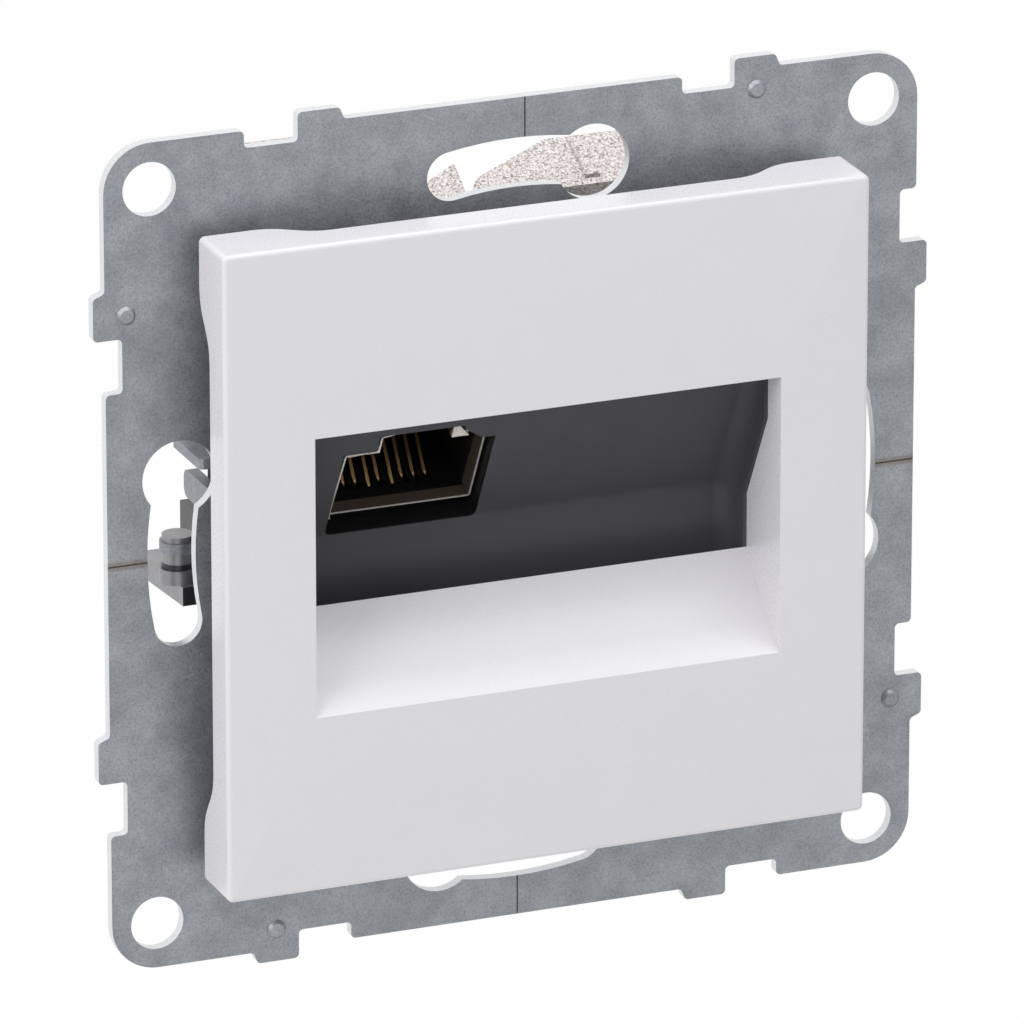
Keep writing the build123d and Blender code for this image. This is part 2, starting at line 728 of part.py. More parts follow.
with BuildPart() as connector_housing:
    with BuildSketch(port_face(tube_end)) as tube_outline:
        with Locations((0, inner_mid)):
            RectangleRounded(housing_w, housing_top - housing_bottom, housing_corner_r)
            Rectangle(
                housing_w - 2 * housing_wall,
                housing_top - housing_bottom - 2 * housing_wall,
                mode=Mode.SUBTRACT,
            )
    extrude(amount=tube_end - housing_front)
    with BuildSketch(port_face(housing_front + housing_wall)) as front_wall:
        with Locations((0, inner_mid)):
            Rectangle(housing_w - housing_wall, housing_top - housing_bottom - housing_wall)
        Rectangle(
            port_w + 2 * shield_t + 2 * fit_gap,
            port_h + 2 * shield_t + 2 * fit_gap,
            mode=Mode.SUBTRACT,
        )
        with Locations((0, port_h / 2 + notch_h / 2)):
            Rectangle(
                notch_w + 2 * shield_t + 2 * fit_gap,
                notch_h + 2 * shield_t + 2 * fit_gap,
                mode=Mode.SUBTRACT,
            )
        with Locations((0, floor_top - floor_depth / 2)):
            Rectangle(2 * core_half_w + fit_gap, floor_depth + 2 * fit_gap, mode=Mode.SUBTRACT)
    extrude(amount=housing_wall)
    with BuildSketch(port_face(tube_end + shoulder_t)) as shoulder:
        with Locations((0, inner_mid)):
            RectangleRounded(housing_w, housing_top - housing_bottom, housing_corner_r)
    extrude(amount=shoulder_t)
    with BuildSketch(port_plan(trough_bottom)) as trough_outline:
        left = -housing_w / 2
        Polygon(
            (left, tube_end),
            (left, cap_limit),
            (left + trough_taper, trough_end),
            (trough_edge, trough_end),
            (trough_edge, tube_end),
            align=None,
        )
    extrude(amount=trough_top - trough_bottom)
    with BuildSketch(port_plan(trough_bottom + trough_wall)) as trough_hollow:
        Polygon(
            (left + trough_wall, tube_end - past),
            (left + trough_wall, cap_limit),
            (left + trough_taper + trough_wall, trough_end - trough_wall),
            (trough_edge + past, trough_end - trough_wall),
            (trough_edge + past, tube_end + shoulder_t),
            (housing_w / 2 - housing_wall, tube_end + shoulder_t),
            (housing_w / 2 - housing_wall, tube_end - past),
            align=None,
        )
    extrude(amount=trough_inner_h, mode=Mode.SUBTRACT)
    # the cable leaves through a slot that is open on the same side
    with BuildSketch(port_face(trough_end + past)) as cable_slot:
        with Locations((0, inner_mid)):
            Circle(cable_slot_h / 2)
        with Locations(((trough_edge + past) / 2, inner_mid)):
            Rectangle(trough_edge + past, cable_slot_h)
    extrude(amount=trough_wall + 2 * past, mode=Mode.SUBTRACT)
    # hinge ear on the right wall
    with BuildSketch(port_plan(ear_bottom)) as ear:
        Polygon(
            (housing_w / 2 - sunk, hinge_at - ear_root),
            (hinge_x + knuckle_r * cos(radians(45)), hinge_at - knuckle_r * sin(radians(45))),
            (hinge_x - knuckle_r * cos(radians(45)), hinge_at + knuckle_r * sin(radians(45))),
            (housing_w / 2 - sunk, tube_end),
            align=None,
        )
        with Locations((hinge_x, hinge_at)):
            Circle(knuckle_r)
            Circle(pin_r, mode=Mode.SUBTRACT)
    extrude(amount=ear_top - ear_bottom)
    # nubs on both walls snap into the carrier's cheeks
    for side in (-1, 1):
        with BuildSketch(port_side(side * (housing_w / 2 - sunk))) as nub:
            with Locations((nub_at, inner_mid)):
                Circle(nub_r)
        extrude(amount=side * (nub_height + sunk), taper=nub_taper_deg)

connector_housing.part.label = "connector_housing"
export_step(connector_housing.part, "parts/connector_housing.step")

# Rear cover: a shallow tray on the hinge, stored open, with its outer wall to the front
rear_end = hinge_x + trough_end + shut_gap + rear_wall - hinge_at
rear_rim = hinge_at + rear_depth - knuckle_r
rear_face = hinge_at - knuckle_r
slope_x = hinge_x - knuckle_r * sin(radians(rear_slope_deg))
slope_t = hinge_at + knuckle_r * cos(radians(rear_slope_deg))


def rear_outline():
    # outline of the tray with the round of its knuckle
    with BuildSketch(mode=Mode.PRIVATE) as outline:
        Polygon(
            (hinge_x, rear_face),
            (rear_end, rear_face),
            (rear_end, rear_rim),
            (slope_x + (rear_rim - slope_t) / tan(radians(rear_slope_deg)), rear_rim),
            (slope_x, slope_t),
            (hinge_x, hinge_at),
            align=None,
        )
        with Locations((hinge_x, hinge_at)):
            Circle(knuckle_r)
    return outline.sketch


with BuildPart() as rear_cover:
    with BuildSketch(port_plan(housing_bottom)) as tray_outline:
        add(rear_outline())
    extrude(amount=housing_top - housing_bottom)
    end_edges = rear_cover.edges().filter_by(height_axis).group_by(Axis.X)[-1]
    fillet(end_edges.sort_by(port_axis)[0], rear_corner_r)
    with BuildSketch(port_plan(housing_bottom + rear_wall)) as tray_hollow:
        Polygon(
            (hinge_x - 2 * knuckle_r, rear_face + rear_wall),
            (rear_end - rear_wall, rear_face + rear_wall),
            (rear_end - rear_wall, rear_rim + past),
            (hinge_x - 2 * knuckle_r, rear_rim + past),
            align=None,
        )
    extrude(amount=housing_top - housing_bottom - 2 * rear_wall, mode=Mode.SUBTRACT)
    # room for the housing's ear, which leaves a knuckle at the top and the bottom
    with BuildSketch(port_plan(ear_bottom - run_gap)) as ear_room:
        with Locations((hinge_x + (run_gap - knuckle_r) / 2, hinge_at)):
            Rectangle(3 * knuckle_r + run_gap, 4 * knuckle_r)
    extrude(amount=ear_top - ear_bottom + 2 * run_gap, mode=Mode.SUBTRACT)
    for low, high in ((housing_bottom, ear_bottom - run_gap), (ear_top + run_gap, housing_top)):
        with BuildSketch(port_plan(low)) as knuckle:
            with Locations((hinge_x, hinge_at)):
                Circle(knuckle_r)
        extrude(amount=high - low)
    with BuildSketch(port_plan(housing_bottom)) as pin_hole:
        with Locations((hinge_x, hinge_at)):
            Circle(pin_r + pin_clearance)
    extrude(amount=housing_top - housing_bottom - pin_floor, mode=Mode.SUBTRACT)
    # stiffening rib across the top wall
    with BuildSketch(port_plan(housing_top - sunk)) as rib:
        with Locations((hinge_x + rib_at, (rear_rim + rear_face) / 2)):
            Rectangle(rib_w, rear_depth - rear_wall)
    extrude(amount=rib_height + sunk, taper=rib_taper_deg)

rear_cover.part.label = "rear_cover"
export_step(rear_cover.part, "parts/rear_cover.step")

with BuildPart() as hinge_pin:
    with BuildSketch(port_plan(housing_bottom + pin_end_gap)) as pin_section:
        with Locations((hinge_x, hinge_at)):
            Circle(pin_r)
    extrude(amount=housing_top - housing_bottom - pin_floor - 2 * pin_end_gap)
    chamfer(hinge_pin.edges().filter_by(GeomType.CIRCLE), pin_end_gap)

hinge_pin.part.label = "hinge_pin"
export_step(hinge_pin.part, "parts/hinge_pin.step")

# Carrier frame: behind the yoke, holds the insert and the jack, with a riveted arm at each side
carrier_w = opening_w - 2 * run_gap
carrier_half_h = carrier_h / 2
rim_back = flange_low_depth + insert_rim_t
carrier_front = from_face(rim_back + fit_gap)

with BuildPart() as carrier_frame:
    with BuildSketch(front_plane(carrier_front + carrier_depth)) as ring:
        Rectangle(carrier_w, carrier_h)
        Rectangle(carrier_w - 2 * carrier_wall, carrier_h - 2 * shelf_t, mode=Mode.SUBTRACT)
        with Locations((0, insert_bottom - fit_gap - shelf_t / 2)):
            Rectangle(carrier_w, shelf_t)
    extrude(amount=carrier_depth)
    # posts at both sides carry the insert's rim up to the top
    with BuildSketch(Plane.YZ.offset(tray_half_w + fit_gap)) as post_profile:
        Polygon(
            (carrier_front, insert_bottom - fit_gap - shelf_t),
            (carrier_front, bend_low_z),
            (from_face(flange_top_depth + insert_rim_t + fit_gap), bend_top_z),
            (from_face(flange_top_depth + insert_rim_t + fit_gap), insert_top),
            (carrier_front, carrier_half_h),
            (carrier_front + post_depth, carrier_half_h),
            (carrier_front + post_depth, insert_bottom - fit_gap - shelf_t),
            align=None,
        )
    extrude(amount=carrier_w / 2 - tray_half_w - fit_gap)
    mirror(about=Plane.YZ)
    # two cheeks hold the die-cast housing between them
    for side in (-1, 1):
        inner = jack_x + side * (housing_w / 2 + fit_gap)
        with BuildSketch(Plane.YZ.offset(inner)) as cheek_profile:
            behind = insert_wall + fit_gap
            cheek_top = insert_top - past
            Polygon(
                (from_face(tray_back) + fit_gap, insert_bottom - fit_gap - shelf_t),
                (from_face(tray_back) + fit_gap, panel_height(tray_back, behind)),
                (from_face(panel_depth(cheek_top, behind)), cheek_top),
                (carrier_front, carrier_half_h - shelf_t / 2),
                (carrier_front + carrier_depth, carrier_half_h - shelf_t / 2),
                (cheek_end, carrier_half_h - cheek_drop),
                (cheek_end, cheek_low),
                (carrier_front + carrier_depth, insert_bottom - fit_gap - shelf_t),
                align=None,
            )
        extrude(amount=side * cheek_t)
        with BuildSketch(port_side(side * (housing_w / 2))) as nub_hole:
            with Locations((nub_at, inner_mid)):
                Circle(nub_r + fit_gap)
        extrude(amount=side * (cheek_t + past), mode=Mode.SUBTRACT)
    # side arms with a stepped stud, formed over the yoke's eyelet
    for side in (-1, 1):
        with BuildSketch(Plane.XY.offset(arm_top - arm_t)) as arm:
            inner = side * (carrier_w / 2 - carrier_wall)
            outer = side * (flange_x + arm_out)
            Polygon(
                (inner, carrier_front + past),
                (side * carrier_w / 2, carrier_front + past),
                (side * carrier_w / 2, arm_depths[0]),
                (outer - side * arm_flare, arm_depths[0]),
                (outer, arm_depths[1]),
                (inner, arm_depths[1]),
                align=None,
            )
        extrude(amount=arm_t)
        with BuildSketch(Plane.XY.offset(arm_top - arm_t)) as root:
            with Locations((side * (carrier_w - carrier_wall) / 2, (arm_depths[1] + past) / 2)):
                Rectangle(carrier_wall, arm_depths[1] - past)
        extrude(amount=arm_root_h)
        with BuildSketch(Plane.XY.offset(arm_top)) as stud_foot:
            with Locations((side * stud_x, stud_y)):
                Circle(stud_foot_r)
        extrude(amount=stud_foot_h)
        with BuildSketch(Plane.XY.offset(arm_top)) as stud:
            with Locations((side * stud_x, stud_y)):
                Circle(stud_r)
        extrude(amount=eyelet_top - eyelet_t - arm_top)
        with BuildSketch(Plane.XY.offset(arm_top)) as neck:
            with Locations((side * stud_x, stud_y)):
                Circle(eyelet_hole_r - stud_neck_gap)
        extrude(amount=eyelet_top - arm_top + sunk)
        with BuildSketch(Plane.XY.offset(eyelet_top)) as stud_head:
            with Locations((side * stud_x, stud_y)):
                Circle(stud_head_r)
        extrude(amount=stud_head_h)

carrier_frame.part.label = "carrier_frame"
export_step(carrier_frame.part, "parts/carrier_frame.step")
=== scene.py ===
import json
import math

import bpy
import bmesh
import numpy as np
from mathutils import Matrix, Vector


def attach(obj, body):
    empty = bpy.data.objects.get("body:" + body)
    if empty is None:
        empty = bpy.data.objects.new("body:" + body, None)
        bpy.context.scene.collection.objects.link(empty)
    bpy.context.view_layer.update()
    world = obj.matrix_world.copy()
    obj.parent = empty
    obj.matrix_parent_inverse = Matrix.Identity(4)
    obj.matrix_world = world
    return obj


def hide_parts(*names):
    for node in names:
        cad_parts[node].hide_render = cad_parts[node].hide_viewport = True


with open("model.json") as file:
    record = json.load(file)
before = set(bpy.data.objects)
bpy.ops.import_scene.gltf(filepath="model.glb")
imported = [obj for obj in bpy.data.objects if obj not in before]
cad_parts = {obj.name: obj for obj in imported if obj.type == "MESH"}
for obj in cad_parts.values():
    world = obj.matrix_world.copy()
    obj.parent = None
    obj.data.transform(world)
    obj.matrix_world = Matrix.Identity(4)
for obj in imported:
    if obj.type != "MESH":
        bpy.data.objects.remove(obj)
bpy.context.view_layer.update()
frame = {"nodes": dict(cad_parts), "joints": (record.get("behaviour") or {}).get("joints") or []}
nodes = frame["nodes"]
scene = bpy.context.scene
print("frame loaded:", len(nodes), "nodes")

# Camera: upper left of the object, a long lens, no shift
camera = {
    "azimuth": -21.9,  # degrees round the object, negative is to its left
    "elevation": 19.85,
    "distance": 0.9533,
    "lens": 410.26,
    "aim": (0.000086, 0.0, -0.00045),
}


def addCamera(size):
    azimuth, elevation = math.radians(size["azimuth"]), math.radians(size["elevation"])
    back = Vector((
        math.sin(azimuth) * math.cos(elevation),
        -math.cos(azimuth) * math.cos(elevation),
        math.sin(elevation),
    ))
    data = bpy.data.cameras.new("camera")
    data.lens = size["lens"]
    data.sensor_width = 36.0
    data.clip_start = 0.05
    data.clip_end = 20.0
    holder = bpy.data.objects.new("camera", data)
    holder.location = Vector(size["aim"]) + back * size["distance"]
    holder.rotation_euler = (-back).to_track_quat("-Z", "Y").to_euler()
    scene.collection.objects.link(holder)
    scene.camera = holder


addCamera(camera)
print("camera placed")

# Studio: two soft lamps, an even surround and a white floor well below the socket
studio = {
    "surround": 0.52,  # light from all round on rough surfaces, where 1 is white
    "lamps": {
        "leftLamp": {"at": (-0.70, -0.30, 0.42), "size": 0.55, "power": 3.1},
        "topLamp": {"at": (0.10, -0.15, 0.75), "size": 0.60, "power": 3.25},
    },
    "floorHeight": -0.14,
    "floorHalfWidth": 2.5,
    "floorColour": (0.82, 0.82, 0.82, 1.0),
    "floorGlow": 0.97,  # share of plain white that the camera sees in the floor
}


def wire(tree, kind, sockets=None, **settings):
    # one shader node: settings are its own choices, sockets take a value or another node's output
    node = tree.nodes.new(kind)
    for key, value in settings.items():
        setattr(node, key, value)
    for key, value in (sockets or {}).items():
        if isinstance(value, bpy.types.NodeSocket):
            tree.links.new(value, node.inputs[key])
        else:
            node.inputs[key].default_value = value
    return node


def maths(tree, operation, first, second=0.0, third=0.0):
    sockets = {0: first, 1: second, 2: third}
    return wire(tree, "ShaderNodeMath", sockets, operation=operation).outputs[0]


def seenPlainly(tree):
    # 1 where a ray comes from the camera, a mirror-like surface or clear material
    path = tree.nodes.new("ShaderNodeLightPath")
    direct = maths(tree, "MAXIMUM", path.outputs["Is Camera Ray"], path.outputs["Is Glossy Ray"])
    return maths(tree, "MAXIMUM", direct, path.outputs["Is Transmission Ray"])


def addSurround(size):
    world = bpy.data.worlds.new("surround")
    scene.world = world
    world.use_nodes = True
    tree = world.node_tree
    background = tree.nodes["Background"]
    background.inputs["Color"].default_value = (1.0, 1.0, 1.0, 1.0)
    strength = maths(tree, "MULTIPLY_ADD", seenPlainly(tree), 1.0 - size["surround"], size["surround"])
    tree.links.new(strength, background.inputs["Strength"])


def addLamp(name, lamp):
    data = bpy.data.lights.new(name, "AREA")
    data.shape = "SQUARE"
    data.size = lamp["size"]
    data.energy = lamp["power"]
    holder = bpy.data.objects.new(name, data)
    holder.location = lamp["at"]
    holder.rotation_euler = (-Vector(lamp["at"])).to_track_quat("-Z", "Y").to_euler()
    scene.collection.objects.link(holder)


def addFloor(size):
    half, height = size["floorHalfWidth"], size["floorHeight"]
    mesh = bpy.data.meshes.new("floor")
    corners = [(-half, -half, height), (half, -half, height), (half, half, height), (-half, half, height)]
    mesh.from_pydata(corners, [], [(0, 1, 2, 3)])
    floor = bpy.data.objects.new("floor", mesh)
    scene.collection.objects.link(floor)
    material = bpy.data.materials.new("floorPaper")
    material.use_nodes = True
    tree = material.node_tree
    tree.nodes.clear()
    paper = wire(tree, "ShaderNodeBsdfDiffuse", {"Color": size["floorColour"]})
    glow = wire(tree, "ShaderNodeEmission", {"Color": (1.0, 1.0, 1.0, 1.0), "Strength": 1.0})
    share = maths(tree, "MULTIPLY", seenPlainly(tree), size["floorGlow"])
    mixed = wire(tree, "ShaderNodeMixShader", {0: share, 1: paper.outputs[0], 2: glow.outputs[0]})
    wire(tree, "ShaderNodeOutputMaterial", {"Surface": mixed.outputs[0]})
    mesh.materials.append(material)


addSurround(studio)
for name, lamp in studio["lamps"].items():
    addLamp(name, lamp)
addFloor(studio)
scene.view_settings.view_transform = "Standard"
print("studio built")


# Materials. All read Object coordinates, in metres, so a scale of 1000 is one cell to the millimetre.
def newMaterial(name, uniform):
    material = bpy.data.materials.new(name)
    material.use_nodes = True
    tree = material.node_tree
    shader = tree.nodes["Principled BSDF"]
    for key, value in uniform.items():
        shader.inputs[key].default_value = value
    coords = tree.nodes.new("ShaderNodeTexCoord").outputs["Object"]
    return material, tree, shader, coords


def grain(tree, coords, cellsPerMetre, detail=3.0, roughness=0.55):
    sockets = {"Vector": coords, "Scale": cellsPerMetre, "Detail": detail, "Roughness": roughness}
    return wire(tree, "ShaderNodeTexNoise", sockets).outputs["Fac"]


def ramp(tree, factor, stops):
    # stops are (place, colour) pairs in order
    node = wire(tree, "ShaderNodeValToRGB", {"Fac": factor})
    while len(node.color_ramp.elements) < len(stops):
        node.color_ramp.elements.new(0.5)
    for element, (place, colour) in zip(node.color_ramp.elements, stops):
        element.position = place
        element.color = (*colour, 1.0)
    return node.outputs["Color"]


def drift(tree, factor, colour, dimmed, low=0.25, high=0.75):
    # the colour, going down to its dimmed share where the factor is low
    return ramp(tree, factor, ((low, tuple(dimmed * c for c in colour)), (high, colour)))


def blendColour(tree, share, under, over):
    # a Mix node keeps its share in socket 0 and its two colours in 6 and 7
    node = wire(tree, "ShaderNodeMix", data_type="RGBA")
    for key, value in ((0, share), (6, under), (7, over)):
        if isinstance(value, bpy.types.NodeSocket):
            tree.links.new(value, node.inputs[key])
        else:
            node.inputs[key].default_value = value
    return node.outputs[2]


def paint(tree, share, under, colour):
    return blendColour(tree, share, under, (*colour, 1.0))


def between(tree, value, low, high):
    above = maths(tree, "GREATER_THAN", value, low)
    below = maths(tree, "LESS_THAN", value, high)
    return maths(tree, "MULTIPLY", above, below)


def spread(tree, factor, **limits):
    # maps the factor's range to another one
    names = {"fromLow": "From Min", "fromHigh": "From Max", "toLow": "To Min", "toHigh": "To Max"}
    sockets = {"Value": factor, **{names[key]: value for key, value in limits.items()}}
    return wire(tree, "ShaderNodeMapRange", sockets).outputs[0]


def relief(tree, height, strength, distance):
    sockets = {"Height": height, "Strength": strength, "Distance": distance}
    return wire(tree, "ShaderNodeBump", sockets).outputs["Normal"]


def splitAxes(tree, vector):
    return wire(tree, "ShaderNodeSeparateXYZ", {0: vector}).outputs


def distanceAlong(tree, coords, direction, start):
    # distance from start in the direction
    dot = wire(tree, "ShaderNodeVectorMath", {0: coords, 1: direction}, operation="DOT_PRODUCT").outputs["Value"]
    return maths(tree, "SUBTRACT", dot, direction.dot(Vector(start)))


zincSheet = {
    "dark": (0.275, 0.291, 0.313),
    "light": (0.385, 0.400, 0.422),
    # uncoated cut edges, also painted brighter as a highlight
    "cutEdgeHighlight": (0.84, 0.85, 0.87),
    "edgeDepths": (-0.00099, 0.00001),  # the plate's thickness, where its cut edges are bright
    "flatness": 0.35,  # a cut edge's normal leaves the plate's plane by less than this
    "blotches": 330.0,  # cells to the metre
    "speckles": 5200.0,
    "speckShades": ((0.30, (0.74, 0.74, 0.74)), (0.50, (1.0, 1.0, 1.0)), (0.72, (1.2, 1.2, 1.2))),
    "metallic": 0.75,
    "lineColour": (0.050, 0.032, 0.018),
    "lineShare": 0.9,
    "lineHalfWidth": 0.00009,
    "smearColour": (0.17, 0.12, 0.075),
    "smearHalfWidth": 0.0005,
    # engraved centre lines: axis across the line, its place, axis along it, start and end, and the smear's share
    "lines": (
        ("X", 0.0008, "Z", 0.0320, 0.0356, 0.0),
        ("X", 0.00015, "Z", -0.0356, -0.0320, 0.0),
        ("Z", -0.00015, "X", -0.0356, -0.0319, 0.45),
        ("Z", -0.00015, "X", 0.0319, 0.0356, 0.45),
    ),
}


def blankedEdge(tree, size):
    # 1 on the sheet's cut edges near the plate: their normals lie in the plate's plane
    place = tree.nodes.new("ShaderNodeTexCoord")
    normal = splitAxes(tree, place.outputs["Normal"])
    depth = splitAxes(tree, place.outputs["Object"])["Y"]
    across = maths(tree, "LESS_THAN", maths(tree, "ABSOLUTE", normal["Y"]), size["flatness"])
    return maths(tree, "MULTIPLY", across, between(tree, depth, *size["edgeDepths"]))


def makeZincSheet(size):
    # galvanised steel: slow blotches under fine speckles, with engraved centre lines
    material, tree, shader, coords = newMaterial("zincSheet", {"Metallic": size["metallic"], "IOR": 1.5})
    blotch = grain(tree, coords, size["blotches"], detail=4.0, roughness=0.6)
    speckle = grain(tree, coords, size["speckles"], detail=2.0, roughness=0.7)
    base = ramp(tree, blotch, ((0.3, size["dark"]), (0.7, size["light"])))
    specks = ramp(tree, speckle, size["speckShades"])
    mixed = wire(tree, "ShaderNodeMix", data_type="RGBA", blend_type="MULTIPLY")
    mixed.inputs[0].default_value = 1.0
    tree.links.new(base, mixed.inputs[6])
    tree.links.new(specks, mixed.inputs[7])
    colour = mixed.outputs[2]
    axes = splitAxes(tree, coords)
    for across, place, lengthwise, start, end, smear in size["lines"]:
        offset = maths(tree, "ABSOLUTE", maths(tree, "SUBTRACT", axes[across], place))
        inside = between(tree, axes[lengthwise], start, end)
        for halfWidth, shade, share in (
            (size["smearHalfWidth"], size["smearColour"], smear),
            (size["lineHalfWidth"], size["lineColour"], size["lineShare"]),
        ):
            fade = maths(tree, "SUBTRACT", 1.0, maths(tree, "DIVIDE", offset, halfWidth))
            fade = wire(tree, "ShaderNodeClamp", {"Value": maths(tree, "MULTIPLY", fade, 2.0)}).outputs[0]
            mask = maths(tree, "MULTIPLY", maths(tree, "MULTIPLY", fade, inside), share)
            colour = paint(tree, mask, colour, shade)
    # the blanked edges are uncoated metal, and painted brighter than the faces as a highlight along their
    # rounded edges
    bareAndHighlit = maths(tree, "MULTIPLY", blankedEdge(tree, size), maths(tree, "MULTIPLY_ADD", speckle, 0.5, 0.6))
    tree.links.new(paint(tree, bareAndHighlit, colour, size["cutEdgeHighlight"]), shader.inputs["Base Color"])
    rough = spread(tree, speckle, fromLow=0.3, fromHigh=0.7, toLow=0.42, toHigh=0.60)
    tree.links.new(maths(tree, "MULTIPLY_ADD", bareAndHighlit, -0.2, rough), shader.inputs["Roughness"])
    tree.links.new(relief(tree, speckle, 0.25, 0.00004), shader.inputs["Normal"])
    return material


coverPlastic = {
    "colour": (0.780, 0.768, 0.795),
    "dimmed": 0.985,
    "roughness": 0.27,
    "roughnessSpread": 0.04,
    "ripple": 260.0,
    "pores": 9000.0,
}


def makeCoverPlastic(size):
    # smooth white moulding: a faint slow ripple and very fine pores
    material, tree, shader, coords = newMaterial("coverPlastic", {"Metallic": 0.0, "IOR": 1.49})
    slow = grain(tree, coords, size["ripple"], detail=2.0)
    tree.links.new(drift(tree, slow, size["colour"], size["dimmed"], 0.2, 0.8), shader.inputs["Base Color"])
    fine = grain(tree, coords, size["pores"], detail=2.0)
    low, high = size["roughness"] - size["roughnessSpread"], size["roughness"] + size["roughnessSpread"]
    tree.links.new(spread(tree, fine, toLow=low, toHigh=high), shader.inputs["Roughness"])
    tree.links.new(relief(tree, fine, 0.05, 0.00001), shader.inputs["Normal"])
    return material


def makeMoulded(name, colour, roughness, pores=6000.0, depth=0.00002, strength=0.15, ior=1.5):
    # moulded plastic: one colour with a slight drift, and fine pores
    material, tree, shader, coords = newMaterial(name, {"Metallic": 0.0, "IOR": ior})
    slow = grain(tree, coords, 300.0)
    tree.links.new(drift(tree, slow, colour, 0.9), shader.inputs["Base Color"])
    fine = grain(tree, coords, pores)
    rough = spread(tree, fine, toLow=roughness * 0.85, toHigh=roughness * 1.15)
    tree.links.new(rough, shader.inputs["Roughness"])
    tree.links.new(relief(tree, fine, strength, depth), shader.inputs["Normal"])
    return material


def makeMetal(name, colour, roughness, grains=4000.0, depth=0.00001, strength=0.2, dimmed=0.88):
    # plated or drawn metal: colour drifts a little, with fine handling marks
    material, tree, shader, coords = newMaterial(name, {"Metallic": 1.0})
    slow = grain(tree, coords, 900.0)
    tree.links.new(drift(tree, slow, colour, dimmed), shader.inputs["Base Color"])
    fine = grain(tree, coords, grains, detail=2.0)
    rough = spread(tree, fine, toLow=roughness * 0.8, toHigh=roughness * 1.25)
    tree.links.new(rough, shader.inputs["Roughness"])
    tree.links.new(relief(tree, fine, strength, depth), shader.inputs["Normal"])
    return material


dieCastZinc = {
    "pale": (0.70, 0.665, 0.65),
    "warm": (0.44, 0.40, 0.385),
    "pit": (0.17, 0.15, 0.14),
    "grains": 4600.0,
    "metallic": 0.55,
}


def makeDieCast(size):
    # sand-like die casting: pale warm grey with dark pits and a broken surface
    material, tree, shader, coords = newMaterial("dieCastZinc", {"Metallic": size["metallic"], "IOR": 1.6})
    cells = grain(tree, coords, size["grains"], detail=4.0, roughness=0.75)
    stops = ((0.36, size["pit"]), (0.46, size["warm"]), (0.57, size["pale"]), (0.75, size["pale"]))
    tree.links.new(ramp(tree, cells, stops), shader.inputs["Base Color"])
    tree.links.new(spread(tree, cells, toLow=0.7, toHigh=0.4), shader.inputs["Roughness"])
    tree.links.new(relief(tree, cells, 0.6, 0.00006), shader.inputs["Normal"])
    return material


# The port's own directions, from the hinge in the record: up along the pin, and in along the jack
hinge = next(joint for joint in frame["joints"] if joint["name"] == "rear_cover_hinge")
portUp = Vector(hinge["axis"]).normalized()
portIn = Vector((0.0, portUp.z, -portUp.y))
portRight = Vector((1.0, 0.0, 0.0))
portCentre = (-0.0092, 0.00003, 0.00431)  # middle of the port, in the plane of the shield's mouth

nickelShield = {
    "bright": (0.78, 0.74, 0.68),
    # painted shade: the port's inside, black
    "inside": (0.012, 0.011, 0.010),
    "lining": (0.085, 0.066, 0.050),  # painted reflection: brownish, just behind the edge
    "edgeDepth": 0.00006,  # how far the bright front edge reaches in
    # how far in the painted reflection reaches
    "liningDepth": 0.0014,
    "metallic": 0.35,  # of the bright edge
}


def makeShield(size):
    # nickel plate at the rim; inside the port it is painted black as shade, with a painted brownish reflection
    # just behind the edge
    material, tree, shader, coords = newMaterial("nickelShield", {})
    depth = distanceAlong(tree, coords, portIn, portCentre)
    # painted shade: black everywhere deeper in than the bright edge
    inside = maths(tree, "GREATER_THAN", depth, size["edgeDepth"])
    # painted reflection: a brownish band just behind the edge
    secondTone = maths(tree, "MULTIPLY", inside, maths(tree, "LESS_THAN", depth, size["liningDepth"]))
    marks = grain(tree, coords, 2500.0)
    plate = drift(tree, marks, size["bright"], 0.75, 0.3, 0.7)
    colour = paint(tree, inside, plate, size["inside"])
    colour = paint(tree, secondTone, colour, size["lining"])
    tree.links.new(colour, shader.inputs["Base Color"])
    metallic = maths(tree, "MULTIPLY_ADD", inside, -size["metallic"], size["metallic"])
    tree.links.new(metallic, shader.inputs["Metallic"])
    tree.links.new(maths(tree, "MULTIPLY_ADD", marks, 0.15, 0.25), shader.inputs["Roughness"])
    tree.links.new(relief(tree, marks, 0.15, 0.00001), shader.inputs["Normal"])
    return material


insertPlastic = {
    "colour": (0.071, 0.072, 0.080),
    "lower": (0.105, 0.106, 0.113),  # painted light: paler below the panel's bend, where the moulding gets less light
    "bend": (0.002, -0.010),  # heights between which it changes
    "paintedShadePocket": (0.012, 0.012, 0.013),  # painted shade: black on the walls round the port
    "panelDepth": -0.00118,  # front of the panel, from the shield's mouth
    "paintedShadeReach": (0.0072, 0.0066),  # right and up from the port's middle
}


